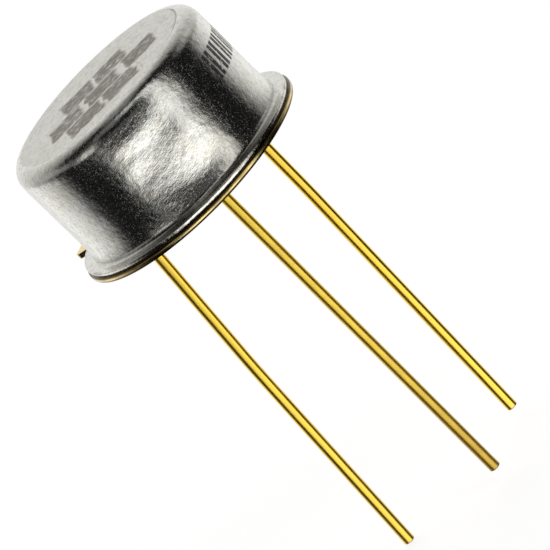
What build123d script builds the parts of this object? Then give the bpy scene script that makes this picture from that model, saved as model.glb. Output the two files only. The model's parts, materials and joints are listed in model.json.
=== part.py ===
from build123d import *
import os
from math import cos, radians, sin, tan

# Voltage reference in a hermetic round metal package with three wire leads.
#
# Frame: +Z runs up through the can and the origin is the centre of the header's underside, the
# plane that seats on a circuit board. Lead 1 stands on -X, lead 2 on -Y, lead 3 on +X, and the
# locating tab points between -X and +Y. Lengths are in millimetres, angles in degrees from +X.

# --- Can: one drawn cup with a flange that is welded to the header ---
CAN_DIAMETER = 8.15
CAN_WALL = 0.20
CAN_CROWN_THICKNESS = 0.22
CAN_TOP_HEIGHT = 4.45
CAN_CORNER_RADIUS = 0.56
CAN_FOOT_RADIUS = 0.20
CAN_FLANGE_WIDTH = 0.495
CAN_FLANGE_THICKNESS = 0.19
CAN_FLANGE_UPPER_EDGE = 0.03
CAN_FLANGE_LOWER_EDGE = 0.08

# --- Header: flanged base, raised platform and locating tab ---
HEADER_FLANGE_LEDGE = 0.07
HEADER_FLANGE_THICKNESS = 0.19
HEADER_FLANGE_UPPER_EDGE = 0.03
HEADER_FLANGE_LOWER_EDGE = 0.08
PLATFORM_CLEARANCE = 0.25
PLATFORM_HEIGHT = 1.10
PLATFORM_EDGE = 0.15
PLATFORM_FOOT_RADIUS = 0.08
TAB_ANGLE = 135.0
TAB_WIDTH = 0.80
TAB_LENGTH = 0.84
TAB_CORNER = 0.16

# --- Leads: round wire on one pin circle, each splayed towards its own bearing. The run below
# each bend has its own splay, and the second bend is a slow one. ---
PIN_CIRCLE_DIAMETER = 5.08
LEAD_DIAMETER = 0.41
LEAD_ANGLES = {"lead_1": 180.0, "lead_2": 270.0, "lead_3": 0.0}
LEAD_DROPS = {"lead_1": 14.36, "lead_2": 13.83, "lead_3": 13.93}
LEAD_BEND_DEPTHS = {"lead_1": (0.25, 6.0), "lead_2": (0.45,), "lead_3": (0.45, 3.3)}
LEAD_SPLAYS = {"lead_1": (5.25, 3.8), "lead_2": (0.86,), "lead_3": (0.70, 1.73)}
LEAD_BEARINGS = {"lead_1": 180.0, "lead_2": 230.0, "lead_3": 180.0}
LEAD_BEND_RADII = (3.0, 60.0)
LEAD_TIP_CHAMFER = 0.03
POST_HEIGHT = 0.45
EARTHED_LEAD = "lead_3"

# --- Glass seals round the two insulated leads ---
SEALED_LEADS = {"glass_seal_1": "lead_1", "glass_seal_2": "lead_2"}
SEAL_DIAMETER = 1.40
SEAL_SINK = 0.03
SEAL_CLIMB = 0.10
MENISCUS_BOW = 0.03

# --- Brazed joint of the lead that is earthed to the header ---
BRAZE_DIAMETER = 0.90
BRAZE_DEPTH = 0.35
BRAZE_CLIMB = 0.14

# --- Circuit inside: the die, its alloy layer and the fine wires with their wedge feet ---
DIE_LENGTH = 2.30
DIE_WIDTH = 1.80
DIE_THICKNESS = 0.38
ATTACH_THICKNESS = 0.05
ATTACH_MARGIN = 0.10
WIRE_DIAMETER = 0.05
WIRE_LOOP_HEIGHT = 0.55
WEDGE_LENGTH = 0.18
WEDGE_WIDTH = 0.11
WEDGE_HEIGHT = 0.04
PAD_MARGIN = 0.22
EARTH_BOND_OFFSET = 0.70

# --- Sizes that follow from those above ---
CAN_RADIUS = CAN_DIAMETER / 2
CAN_BORE_RADIUS = CAN_RADIUS - CAN_WALL
CAN_FLANGE_RADIUS = CAN_RADIUS + CAN_FLANGE_WIDTH
HEADER_FLANGE_RADIUS = CAN_FLANGE_RADIUS + HEADER_FLANGE_LEDGE
PLATFORM_RADIUS = CAN_BORE_RADIUS - PLATFORM_CLEARANCE
PIN_CIRCLE_RADIUS = PIN_CIRCLE_DIAMETER / 2
LEAD_RADIUS = LEAD_DIAMETER / 2
SEAL_RADIUS = SEAL_DIAMETER / 2
BRAZE_RADIUS = BRAZE_DIAMETER / 2
FLANGE_TOP = HEADER_FLANGE_THICKNESS + CAN_FLANGE_THICKNESS
DIE_FOOT = PLATFORM_HEIGHT + ATTACH_THICKNESS
DIE_TOP = DIE_FOOT + DIE_THICKNESS
POST_TOP = PLATFORM_HEIGHT + POST_HEIGHT


def bearing(angle):
    """Return the unit vector in plan that points along an angle measured from +X."""
    return Vector(cos(radians(angle)), sin(radians(angle)), 0)


def lead_centre(lead_name):
    """Return the point on a lead's axis at the seating plane."""
    return bearing(LEAD_ANGLES[lead_name]) * PIN_CIRCLE_RADIUS


def meniscus(neck, rim, bow):
    """Return the middle point of the shallow arc between a wire's neck and its socket's rim.

    Both ends are (radius, height) pairs, and bow is how far the arc's middle stands above the
    straight line between them.
    """
    return (neck[0] + rim[0]) / 2, (neck[1] + rim[1]) / 2 + bow


def upright_section(centre):
    """Return the plane of a half section whose revolve axis stands on the given point."""
    return Plane(centre, x_dir=(1, 0, 0), z_dir=(0, -1, 0))


os.makedirs("parts", exist_ok=True)

# The can's half section, from the bore's foot round the flange, up the wall and over the crown.
can_outline = (
    (CAN_BORE_RADIUS, HEADER_FLANGE_THICKNESS),
    (CAN_FLANGE_RADIUS, HEADER_FLANGE_THICKNESS),
    (CAN_FLANGE_RADIUS, FLANGE_TOP),
    (CAN_RADIUS, FLANGE_TOP),
    (CAN_RADIUS, CAN_TOP_HEIGHT),
    (0, CAN_TOP_HEIGHT),
    (0, CAN_TOP_HEIGHT - CAN_CROWN_THICKNESS),
    (CAN_BORE_RADIUS, CAN_TOP_HEIGHT - CAN_CROWN_THICKNESS),
)
can_corner_radii = (
    CAN_FOOT_RADIUS,
    CAN_FLANGE_LOWER_EDGE,
    CAN_FLANGE_UPPER_EDGE,
    CAN_FOOT_RADIUS,
    CAN_CORNER_RADIUS,
    0,
    0,
    CAN_CORNER_RADIUS - CAN_WALL,
)
with BuildPart() as can:
    with BuildSketch(Plane.XZ):
        with BuildLine():
            FilletPolyline(*can_outline, radius=can_corner_radii, close=True)
        make_face()
    revolve(axis=Axis.Z)
can.part.label = "can"
export_step(can.part, "parts/can.step")

# The header's half section: flat underside, thin flange, raised platform with an eased rim.
header_outline = (
    (0, 0),
    (HEADER_FLANGE_RADIUS, 0),
    (HEADER_FLANGE_RADIUS, HEADER_FLANGE_THICKNESS),
    (PLATFORM_RADIUS, HEADER_FLANGE_THICKNESS),
    (PLATFORM_RADIUS, PLATFORM_HEIGHT),
    (0, PLATFORM_HEIGHT),
)
header_corner_radii = (
    0,
    HEADER_FLANGE_LOWER_EDGE,
    HEADER_FLANGE_UPPER_EDGE,
    PLATFORM_FOOT_RADIUS,
    PLATFORM_EDGE,
    0,
)
with BuildPart() as header:
    with BuildSketch(Plane.XZ):
        with BuildLine():
            FilletPolyline(*header_outline, radius=header_corner_radii, close=True)
        make_face()
    revolve(axis=Axis.Z)
    # The tab is a straight tongue of the flange's sheet, with its two outer corners eased.
    tab_reach = HEADER_FLANGE_RADIUS + TAB_LENGTH
    with BuildSketch(Plane.XY.rotated((0, 0, TAB_ANGLE))) as tab_outline:
        with Locations(((PLATFORM_RADIUS + tab_reach) / 2, 0)):
            Rectangle(tab_reach - PLATFORM_RADIUS, TAB_WIDTH)
        outer_corners = tab_outline.vertices().sort_by_distance((0, 0, 0))[-2:]
        fillet(outer_corners, radius=TAB_CORNER)
    extrude(amount=HEADER_FLANGE_THICKNESS)
    # Through holes take the glass seals.
    with BuildSketch(Plane.XY):
        with Locations(*[lead_centre(lead_name) for lead_name in SEALED_LEADS.values()]):
            Circle(SEAL_RADIUS)
    extrude(amount=PLATFORM_HEIGHT, mode=Mode.SUBTRACT)
    # A blind socket takes the earthed lead and its braze.
    with BuildSketch(Plane.XY):
        with Locations(lead_centre(EARTHED_LEAD)):
            Circle(BRAZE_RADIUS)
    extrude(amount=BRAZE_DEPTH, mode=Mode.SUBTRACT)
header.part.label = "header"
export_step(header.part, "parts/header.step")

# Each glass seal fills its hole, sits a little inside both faces at its rim and wets the lead.
for seal_name, lead_name in SEALED_LEADS.items():
    centre = lead_centre(lead_name)
    foot_rim = (SEAL_RADIUS, SEAL_SINK)
    foot_neck = (LEAD_RADIUS, -SEAL_CLIMB)
    head_rim = (SEAL_RADIUS, PLATFORM_HEIGHT - SEAL_SINK)
    head_neck = (LEAD_RADIUS, PLATFORM_HEIGHT + SEAL_CLIMB)
    with BuildPart() as glass_seal:
        with BuildSketch(upright_section(centre)):
            with BuildLine():
                Line(foot_neck, head_neck)
                ThreePointArc(head_neck, meniscus(head_neck, head_rim, -MENISCUS_BOW), head_rim)
                Line(head_rim, foot_rim)
                ThreePointArc(foot_rim, meniscus(foot_neck, foot_rim, MENISCUS_BOW), foot_neck)
            make_face()
        revolve(axis=Axis(centre, (0, 0, 1)))
    glass_seal.part.label = seal_name
    export_step(glass_seal.part, f"parts/{seal_name}.step")

# The braze fills the blind socket round the earthed lead and climbs the wire below the header.
earthed_centre = lead_centre(EARTHED_LEAD)
braze_neck = (LEAD_RADIUS, -BRAZE_CLIMB)
braze_rim = (BRAZE_RADIUS, 0)
with BuildPart() as earth_braze:
    with BuildSketch(upright_section(earthed_centre)):
        with BuildLine():
            Polyline(braze_neck, (LEAD_RADIUS, BRAZE_DEPTH), (BRAZE_RADIUS, BRAZE_DEPTH), braze_rim)
            ThreePointArc(braze_rim, meniscus(braze_neck, braze_rim, MENISCUS_BOW), braze_neck)
        make_face()
    revolve(axis=Axis(earthed_centre, (0, 0, 1)))
earth_braze.part.label = "earth_braze"
export_step(earth_braze.part, "parts/earth_braze.step")

# Each lead runs straight down through the header, bends slightly below it and then runs to a
# square-cut end. The sealed leads stand up inside as bonding posts.
for lead_name, drop in LEAD_DROPS.items():
    centre = lead_centre(lead_name)
    head = Vector(0, 0, BRAZE_DEPTH if lead_name == EARTHED_LEAD else POST_TOP)
    bend_depths = LEAD_BEND_DEPTHS[lead_name]
    run_ends = (*bend_depths[1:], drop)
    route = [centre + head, centre - Vector(0, 0, bend_depths[0])]
    for splay, run_start, run_end in zip(LEAD_SPLAYS[lead_name], bend_depths, run_ends):
        fall = run_end - run_start
        drift = bearing(LEAD_BEARINGS[lead_name]) * fall * tan(radians(splay))
        route.append(route[-1] + drift - Vector(0, 0, fall))
    with BuildPart() as lead:
        with BuildLine() as lead_path:
            FilletPolyline(*route, radius=LEAD_BEND_RADII[: len(bend_depths)])
        with BuildSketch(Plane(centre + head)):
            Circle(LEAD_RADIUS)
        sweep(path=lead_path.line)
        lead_end = lead.faces().sort_by(Axis.Z)[0]
        chamfer(lead_end.edges(), length=LEAD_TIP_CHAMFER)
    lead.part.label = lead_name
    export_step(lead.part, f"parts/{lead_name}.step")

# The die and the thin alloy layer that holds it to the middle of the platform.
with BuildPart() as die_attach:
    with BuildSketch(Plane.XY.offset(PLATFORM_HEIGHT)):
        Rectangle(DIE_LENGTH + 2 * ATTACH_MARGIN, DIE_WIDTH + 2 * ATTACH_MARGIN)
    extrude(amount=ATTACH_THICKNESS)
die_attach.part.label = "die_attach"
export_step(die_attach.part, "parts/die_attach.step")

with BuildPart() as die:
    with BuildSketch(Plane.XY.offset(DIE_FOOT)):
        Rectangle(DIE_LENGTH, DIE_WIDTH)
    extrude(amount=DIE_THICKNESS)
die.part.label = "die"
export_step(die.part, "parts/die.step")

# A fine wire joins a pad near the die's edge to each post, and one runs down to the platform.
# Each wire is one arc between two flat wedge feet.
pad_x = DIE_LENGTH / 2 - PAD_MARGIN
pad_y = DIE_WIDTH / 2 - PAD_MARGIN
post_rise = Vector(0, 0, POST_TOP)
earth_landing = Vector(DIE_LENGTH / 2 + EARTH_BOND_OFFSET, 0, PLATFORM_HEIGHT)
wire_ends = {
    "bond_wire_1": (Vector(-pad_x, 0, DIE_TOP), lead_centre("lead_1") + post_rise),
    "bond_wire_2": (Vector(0, -pad_y, DIE_TOP), lead_centre("lead_2") + post_rise),
    "bond_wire_earth": (Vector(pad_x, 0, DIE_TOP), earth_landing),
}
wedge_rise = Vector(0, 0, WEDGE_HEIGHT)
for wire_name, (pad, landing) in wire_ends.items():
    along = Vector(landing.X - pad.X, landing.Y - pad.Y, 0)
    middle = (pad + landing) / 2
    crest = Vector(middle.X, middle.Y, max(pad.Z, landing.Z) + WEDGE_HEIGHT + WIRE_LOOP_HEIGHT)
    with BuildPart() as bond_wire:
        for foot in (pad, landing):
            with BuildSketch(Plane(foot, x_dir=along)):
                Rectangle(WEDGE_LENGTH, WEDGE_WIDTH)
            extrude(amount=WEDGE_HEIGHT)
        with BuildLine() as loop:
            ThreePointArc(pad + wedge_rise, crest, landing + wedge_rise)
        with BuildSketch(Plane(origin=loop.line @ 0, z_dir=loop.line % 0)):
            Circle(WIRE_DIAMETER / 2)
        sweep(path=loop.line)
    bond_wire.part.label = wire_name
    export_step(bond_wire.part, f"parts/{wire_name}.step")
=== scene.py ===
"""Dressed model of a voltage reference in a round metal can, with its studio and camera.

Everything is in metres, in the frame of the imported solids: +Z runs up through the can, the origin
is the centre of the header's underside, lead 1 stands on -X, lead 2 on -Y and lead 3 on +X.
Finishes are the exception: their sizes are in millimetres and their angles in degrees.
"""

from __future__ import annotations

import json
import logging
import math
from dataclasses import dataclass
from enum import Enum
from typing import Any, Mapping, Sequence, Union

import bmesh
import bpy
from mathutils import Matrix, Vector


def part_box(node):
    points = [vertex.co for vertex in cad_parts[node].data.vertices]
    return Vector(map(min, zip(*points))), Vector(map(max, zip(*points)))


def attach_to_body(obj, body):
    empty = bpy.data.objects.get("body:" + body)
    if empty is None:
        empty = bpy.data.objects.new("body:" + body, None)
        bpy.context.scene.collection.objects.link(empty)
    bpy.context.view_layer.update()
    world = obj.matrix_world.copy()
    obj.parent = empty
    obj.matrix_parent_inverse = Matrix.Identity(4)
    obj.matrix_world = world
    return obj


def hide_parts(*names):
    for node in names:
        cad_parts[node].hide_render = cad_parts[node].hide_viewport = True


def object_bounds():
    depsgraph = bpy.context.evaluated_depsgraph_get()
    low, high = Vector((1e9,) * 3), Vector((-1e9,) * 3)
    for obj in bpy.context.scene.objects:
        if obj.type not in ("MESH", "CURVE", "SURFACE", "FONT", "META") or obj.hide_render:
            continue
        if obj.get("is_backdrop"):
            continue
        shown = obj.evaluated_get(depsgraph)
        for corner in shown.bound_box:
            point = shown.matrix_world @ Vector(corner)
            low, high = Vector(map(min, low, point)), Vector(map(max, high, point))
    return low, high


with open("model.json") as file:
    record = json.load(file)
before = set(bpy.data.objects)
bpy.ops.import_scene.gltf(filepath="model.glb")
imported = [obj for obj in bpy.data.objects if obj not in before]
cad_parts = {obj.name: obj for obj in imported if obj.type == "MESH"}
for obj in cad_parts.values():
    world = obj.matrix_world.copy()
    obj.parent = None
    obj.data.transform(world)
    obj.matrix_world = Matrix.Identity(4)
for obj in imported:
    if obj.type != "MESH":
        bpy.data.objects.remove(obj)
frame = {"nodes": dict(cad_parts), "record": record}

log = logging.getLogger("voltage_reference")

MM = 0.001
ROOT = "root"

# The camera's bearing from the part, in degrees from +X. The can's grain, the print on its top and
# the studio's lights are laid out from it.
FRONT = -97.96

Triple = tuple[float, float, float]
Point = tuple[float, float]


def heading(bearing: float) -> Triple:
    """Return the level direction at a bearing, in degrees from +X."""
    angle = math.radians(bearing)
    return (math.cos(angle), math.sin(angle), 0.0)


class Slot(Enum):
    """Material slots of the record."""

    CAN = "nickel_can"
    HEADER = "gold_header"
    LEAD = "gold_lead"
    GLASS = "seal_glass"
    BRAZE = "braze_alloy"
    ATTACH = "attach_alloy"
    SILICON = "silicon"
    BOND_WIRE = "bond_wire"


# --- Node graphs ---


class Socket:
    """An output socket whose arithmetic adds Math nodes to its graph."""

    def __init__(self, graph: Graph, output: bpy.types.NodeSocket) -> None:
        """Wrap one output of a node in the graph."""
        self.graph = graph
        self.output = output

    def other(self, name: str) -> Socket:
        """Return another output of the same node."""
        return Socket(self.graph, self.output.node.outputs[name])

    def __add__(self, value: Value) -> Socket:
        """Return self + value."""
        return self.graph.math("ADD", self, value)

    def __radd__(self, value: Value) -> Socket:
        """Return value + self."""
        return self.graph.math("ADD", value, self)

    def __sub__(self, value: Value) -> Socket:
        """Return self - value."""
        return self.graph.math("SUBTRACT", self, value)

    def __rsub__(self, value: Value) -> Socket:
        """Return value - self."""
        return self.graph.math("SUBTRACT", value, self)

    def __mul__(self, value: Value) -> Socket:
        """Return self * value."""
        return self.graph.math("MULTIPLY", self, value)

    def __rmul__(self, value: Value) -> Socket:
        """Return value * self."""
        return self.graph.math("MULTIPLY", value, self)

    def __truediv__(self, value: Value) -> Socket:
        """Return self / value."""
        return self.graph.math("DIVIDE", self, value)

    def __pow__(self, value: Value) -> Socket:
        """Return self ** value."""
        return self.graph.math("POWER", self, value)

    def step(self, low: float, high: float) -> Socket:
        """Return a smooth step that is 0 below low and 1 above high."""
        inputs = {"Value": self, "From Min": low, "From Max": high}
        return self.graph.add("ShaderNodeMapRange", {"interpolation_type": "SMOOTHSTEP"}, inputs)

    def bell(self) -> Socket:
        """Return a bell curve of this squared distance, which is 1 at no distance."""
        return self.graph.math("EXPONENT", 0 - self)


Value = Union[Socket, float, int]
Entry = Union[Socket, float, int, bool, Sequence[float], bpy.types.ID]


class Graph:
    """A node tree that grows one node at a time, for shaders and for geometry."""

    def __init__(self, tree: bpy.types.NodeTree) -> None:
        """Wrap a node tree, which the new nodes go into."""
        self.tree = tree

    @classmethod
    def inside(cls, owner: bpy.types.Material | bpy.types.World) -> Graph:
        """Return the emptied graph of a material or a world.

        Args:
            owner: What the graph belongs to.

        Returns:
            A graph with no nodes.
        """
        owner.use_nodes = True
        owner.node_tree.nodes.clear()
        return cls(owner.node_tree)

    def add(
        self,
        kind: str,
        settings: Mapping[str, Any] | None = None,
        inputs: Mapping[str | int, Entry] | None = None,
        output: str | int = 0,
    ) -> Socket:
        """Add one node of any type.

        Args:
            kind: The node's type name.
            settings: Node properties, set before the sockets are filled.
            inputs: Links and constants by socket name or number.
            output: The output to return.

        Returns:
            The chosen output of the new node.
        """
        node = self.tree.nodes.new(kind)
        for name, value in (settings or {}).items():
            setattr(node, name, value)
        for key, value in (inputs or {}).items():
            self.fill(node.inputs[key], value)
        return Socket(self, node.outputs[output])

    def fill(self, target: bpy.types.NodeSocket, value: Entry) -> None:
        """Link an input to a socket, or give it a constant.

        Args:
            target: The input to fill.
            value: A wrapped output, or the constant.
        """
        if isinstance(value, Socket):
            self.tree.links.new(value.output, target)
        elif target.type == "RGBA":
            target.default_value = (*value, 1.0)
        else:
            target.default_value = value

    def end(self, kind: str, name: str, value: Socket) -> None:
        """Add an output node and link its named input."""
        self.fill(self.tree.nodes.new(kind).inputs[name], value)

    def math(self, operation: str, *values: Value) -> Socket:
        """Return the result of a new Math node, with its operands in order."""
        return self.add("ShaderNodeMath", {"operation": operation}, dict(enumerate(values)))

    def vector(self, operation: str, *values: Entry, output: str = "Vector") -> Socket:
        """Return an output of a new Vector Math node: Value for a dot product or a length."""
        inputs = dict(enumerate(values))
        return self.add("ShaderNodeVectorMath", {"operation": operation}, inputs, output)

    def mix(self, factor: Value, first: Entry, second: Entry) -> Socket:
        """Mix two colours.

        Args:
            factor: 0 for the first colour, 1 for the second.
            first: The first colour.
            second: The second colour.

        Returns:
            The mixed colour.
        """
        node = self.tree.nodes.new("ShaderNodeMix")
        node.data_type = "RGBA"
        by_identifier = {socket.identifier: socket for socket in node.inputs}
        for identifier, value in (("Factor_Float", factor), ("A_Color", first), ("B_Color", second)):
            self.fill(by_identifier[identifier], value)
        return Socket(self, next(out for out in node.outputs if out.identifier == "Result_Color"))

    def noise(
        self,
        point: Socket,
        scale: float,
        detail: float = 2.0,
        roughness: float = 0.5,
        output: str = "Fac",
    ) -> Socket:
        """Return a noise, about 0.5 on average, or three of them as its Color."""
        inputs = {"Vector": point, "Scale": scale, "Detail": detail, "Roughness": roughness}
        return self.add("ShaderNodeTexNoise", None, inputs, output)


class Place:
    """The surface point in the piece's own coordinates, in millimetres."""

    def __init__(self, graph: Graph) -> None:
        """Add the nodes that read the point and its height.

        Args:
            graph: The material's graph.
        """
        self.graph = graph
        metres = graph.add("ShaderNodeTexCoord", output="Object")
        self.point = graph.vector("MULTIPLY", metres, (1 / MM, 1 / MM, 1 / MM))
        self.height = graph.add("ShaderNodeSeparateXYZ", None, {"Vector": self.point}, "Z")

    def angle(self) -> Socket:
        """Return the bearing about the upright axis, in degrees from +X."""
        turn = self.graph.math("ARCTAN2", self.height.other("Y"), self.height.other("X"))
        return self.graph.math("DEGREES", turn)

    def radius(self) -> Socket:
        """Return the distance from the upright axis."""
        flat = self.graph.vector("MULTIPLY", self.point, (1.0, 1.0, 0.0))
        return self.graph.vector("LENGTH", flat, output="Value")


# --- Patterns ---


@dataclass(frozen=True)
class Band:
    """A stretch of a value, with half the width of its soft edges, and of the last one if it differs."""

    start: float
    end: float
    soft: float
    last_soft: float | None = None

    def mask(self, value: Socket) -> Socket:
        """Draw the stretch.

        Args:
            value: What is measured.

        Returns:
            1 inside the stretch and 0 outside it.
        """
        last_soft = self.soft if self.last_soft is None else self.last_soft
        rise = value.step(self.start - self.soft, self.start + self.soft)
        return rise * (1 - value.step(self.end - last_soft, self.end + last_soft))


@dataclass(frozen=True)
class Patches:
    """Soft-edged patches of a noise: how fine it is, where a patch starts and where it is full."""

    scale: float
    low: float
    high: float
    detail: float = 2.0
    roughness: float = 0.5

    def mask(self, place: Place) -> Socket:
        """Return 1 inside a patch and 0 between patches."""
        texture = place.graph.noise(place.point, self.scale, self.detail, self.roughness)
        return texture.step(self.low, self.high)


@dataclass(frozen=True)
class Texture:
    """A noise that raises the surface: its fineness along each axis, and its depth."""

    scale: Triple
    depth: float
    detail: float = 1.0
    roughness: float = 0.5

    def height(self, point: Socket) -> Socket:
        """Return the height at a point, about 0 on average."""
        placed = point.graph.vector("MULTIPLY", point, self.scale)
        return (point.graph.noise(placed, 1.0, self.detail, self.roughness) - 0.5) * self.depth


@dataclass(frozen=True)
class PrintRow:
    """One row of plain printed blocks, with sizes along and across the row."""

    start: float
    end: float
    middle: float
    height: float
    pitch: float
    block: float
    soft: float
    along_soft: float
    slit: float = 0.0

    def mask(self, along: Socket, across: Socket) -> Socket:
        """Draw the row.

        Args:
            along: The coordinate along the row.
            across: The coordinate across it.

        Returns:
            1 on a block and 0 beside it and in its slit.
        """
        half = self.height / 2
        row = Band(self.middle - half, self.middle + half, self.soft).mask(across)
        row = row * Band(self.start, self.end, self.along_soft).mask(along)
        phase = along.graph.math("FLOORED_MODULO", along - self.start, self.pitch)
        row = row * Band(0.0, self.block, self.along_soft).mask(phase)
        if self.slit:
            slit_start = (self.block - self.slit) / 2
            row = row * (1 - Band(slit_start, slit_start + self.slit, self.along_soft).mask(phase))
        return row


@dataclass(frozen=True)
class Swell:
    """A shallow swell in the wall: its bearing and height, its half sizes and its rise."""

    angle: float
    height: float
    half_width: float
    half_height: float
    rise: float


def tinted(colour: Triple, tint: Triple) -> Triple:
    """Return a colour with each of its parts scaled by the tint's."""
    return tuple(part * share for part, share in zip(colour, tint))


def bump(height: Socket) -> Socket:
    """Return the normal of a surface that is raised by a height in millimetres."""
    return height.graph.add("ShaderNodeBump", None, {"Strength": 1.0, "Distance": MM, "Height": height})


# --- Finishes ---


@dataclass(frozen=True)
class Finish:
    """What every finish has in common: a name, a base colour and how rough it is."""

    name: str
    colour: Triple
    roughness: float

    def material(self) -> bpy.types.Material:
        """Build a material with this finish.

        Returns:
            The new material.
        """
        made = bpy.data.materials.new(self.name)
        graph = Graph.inside(made)
        shader = graph.add("ShaderNodeBsdfPrincipled", None, self.inputs(Place(graph)))
        graph.end("ShaderNodeOutputMaterial", "Surface", shader)
        return made

    def inputs(self, place: Place) -> dict[str, Entry]:
        """Return what feeds the Principled shader.

        Args:
            place: The surface point.

        Returns:
            Links and constants by the name of the shader's input.
        """
        raise NotImplementedError


@dataclass(frozen=True)
class NickelFinish(Finish):
    """Drawn and barrel-finished nickel with plain printed blocks on the wall and on the top."""

    wall_radius: float = 4.075
    top_height: float = 4.45
    # The relief: fine textures, a roll round the wall's foot and single swells.
    grain_tilt: float = -12.0
    grain: Texture = Texture((4.0, 4.0, 22.0), 0.0027, 2.0, 0.6)
    specks: Texture = Texture((24.0, 24.0, 24.0), 0.0028)
    drift: Texture = Texture((0.45, 0.45, 0.9), 0.03)
    mottle: Texture = Texture((4.6, 4.6, 4.6), 0.0088)
    roll_height: float = 0.33
    roll_reach: float = 0.36
    roll_rise: float = 0.036
    swells: tuple[Swell, ...] = (
        Swell(-106.0, 3.38, 1.1, 0.42, 0.030),
        Swell(-114.5, 2.72, 0.55, 0.32, 0.016),
        Swell(-84.0, 2.45, 0.8, 0.50, 0.034),
        Swell(-106.0, 0.60, 0.9, 0.50, 0.028),
        Swell(-89.0, 0.96, 0.85, 0.50, -0.030),
        Swell(-112.5, 0.95, 0.9, 0.65, 0.032),
        Swell(-70.5, 0.98, 0.55, 0.34, 0.024),
    )
    # The metal's tone and how rough it is.
    cloud_scale: float = 1.4
    cloud_detail: float = 3.0
    cloud_span: Point = (0.35, 0.65)
    cloud_tint: Triple = (0.97, 0.95, 0.90)
    cloud_roughness: float = 0.08
    soil: Patches = Patches(5.5, 0.42, 0.72, roughness=0.7)
    soil_tint: Triple = (0.76, 0.76, 0.76)
    pits: Patches = Patches(17.0, 0.52, 0.68, roughness=0.7)
    pit_roughness: float = 0.24
    top_skin: float = 0.006
    top_roughness: float = 0.18
    # What darkens it: stains on the flange, painted shade along the top's edge and painted shade at the
    # wall's foot.
    dark: Triple = (0.235, 0.215, 0.18)
    rim_start: Point = (4.44, 4.52)
    rim_stain: Patches = Patches(1.3, 0.50, 0.62)
    rim_strength: float = 0.55
    crease_shade_radius: Band = Band(3.50, 3.57, 0.03)
    crease_shade_angle: Band = Band(-42.0, 2.0, 7.0)
    crease_shade_drop: Point = (0.2, 0.1)
    crease_shade_strength: float = 0.75
    foot_shade_radius: Band = Band(4.07, 4.15, 0.04)
    foot_shade_height: Point = (0.46, 0.52)
    foot_shade_strength: float = 0.8
    # The print: ink on the wall, with its length in degrees, and a faint etch on the top.
    ink: Triple = (0.035, 0.03, 0.025)
    ink_roughness: float = 0.25
    wall_row: PrintRow = PrintRow(-51.0, 42.0, 2.85, 1.02, 8.6, 6.4, 0.03, 0.35, slit=1.1)
    wall_wear: Patches = Patches(7.0, 0.28, 0.42)
    etch_roughness: float = 0.12
    top_rows: tuple[PrintRow, ...] = (
        PrintRow(-1.42, 1.55, 0.98, 1.36, 1.50, 1.36, 0.12, 0.10),
        PrintRow(-2.30, 2.50, -0.46, 1.34, 1.68, 1.42, 0.12, 0.10),
        PrintRow(-1.76, 1.46, -1.90, 1.34, 1.60, 1.46, 0.12, 0.10),
    )
    top_wear: Patches = Patches(4.0, 0.10, 0.58, 3.0)
    top_reach: float = 0.1
    waver_scale: float = 1.7
    waver_size: float = 0.42

    def inputs(self, place: Place) -> dict[str, Entry]:
        """Return what feeds the Principled shader.

        Args:
            place: The surface point.

        Returns:
            Links and constants by the name of the shader's input.
        """
        graph = place.graph
        ink = self.wall_print(place)
        etch = self.top_print(place)
        cloud = graph.noise(place.point, self.cloud_scale, self.cloud_detail)
        clouded = graph.mix(cloud.step(*self.cloud_span), self.colour, tinted(self.colour, self.cloud_tint))
        metal = graph.mix(self.soil.mask(place), clouded, tinted(self.colour, self.soil_tint))
        # Stains and painted shade take the dark colour, and so does the etched print over them.
        marked = graph.mix(etch, graph.mix(self.stains_and_painted_shade(place), metal, self.dark), self.dark)
        flat_top = place.height.step(self.top_height - self.top_skin, self.top_height)
        rough = self.roughness + (cloud - 0.5) * self.cloud_roughness
        rough = rough + self.pits.mask(place) * self.pit_roughness + etch * self.etch_roughness
        rough = rough + ink * self.ink_roughness + flat_top * self.top_roughness
        return {
            "Base Color": graph.mix(ink, marked, self.ink),
            "Metallic": 1 - ink,
            "Roughness": rough,
            "Normal": bump(self.relief(place)),
        }

    def relief(self, place: Place) -> Socket:
        """Raise the surface.

        Args:
            place: The surface point.

        Returns:
            The height of the tilted grain, the finer textures and the slow swells.
        """
        tilt = math.radians(self.grain_tilt)
        inputs = {"Vector": place.point, "Axis": heading(FRONT), "Angle": tilt}
        tilted = place.graph.add("ShaderNodeVectorRotate", {"rotation_type": "AXIS_ANGLE"}, inputs)
        height = self.grain.height(tilted)
        for texture in (self.specks, self.drift, self.mottle):
            height = height + texture.height(place.point)
        roll = (place.height - self.roll_height) / self.roll_reach
        height = height + (roll * roll).bell() * self.roll_rise
        angle = place.angle()
        for swell in self.swells:
            along = (angle - swell.angle) * (math.radians(self.wall_radius) / swell.half_width)
            across = (place.height - swell.height) / swell.half_height
            height = height + (along * along + across * across).bell() * swell.rise
        return height

    def stains_and_painted_shade(self, place: Place) -> Socket:
        """Draw what darkens the nickel: stains and painted shade.

        Args:
            place: The surface point.

        Returns:
            The mask of the flange's stains, the painted shade along the top's edge and the painted shade at
            the wall's foot.
        """
        radius = place.radius()
        stains = radius.step(*self.rim_start) * self.rim_stain.mask(place) * self.rim_strength
        # Painted shade: a dark line along the top's outer edge, over one stretch of bearings.
        crease_shade = self.crease_shade_radius.mask(radius) * self.crease_shade_angle.mask(place.angle())
        below, above = (self.top_height - drop for drop in self.crease_shade_drop)
        crease_shade = crease_shade * place.height.step(below, above)
        # Painted shade: a dark band low on the wall, where it meets the flange.
        foot_shade = self.foot_shade_radius.mask(radius) * (1 - place.height.step(*self.foot_shade_height))
        return stains + crease_shade * self.crease_shade_strength + foot_shade * self.foot_shade_strength

    def wall_print(self, place: Place) -> Socket:
        """Return the mask of the blocks that run round the wall."""
        return self.wall_row.mask(place.angle(), place.height) * self.wall_wear.mask(place)

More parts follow.
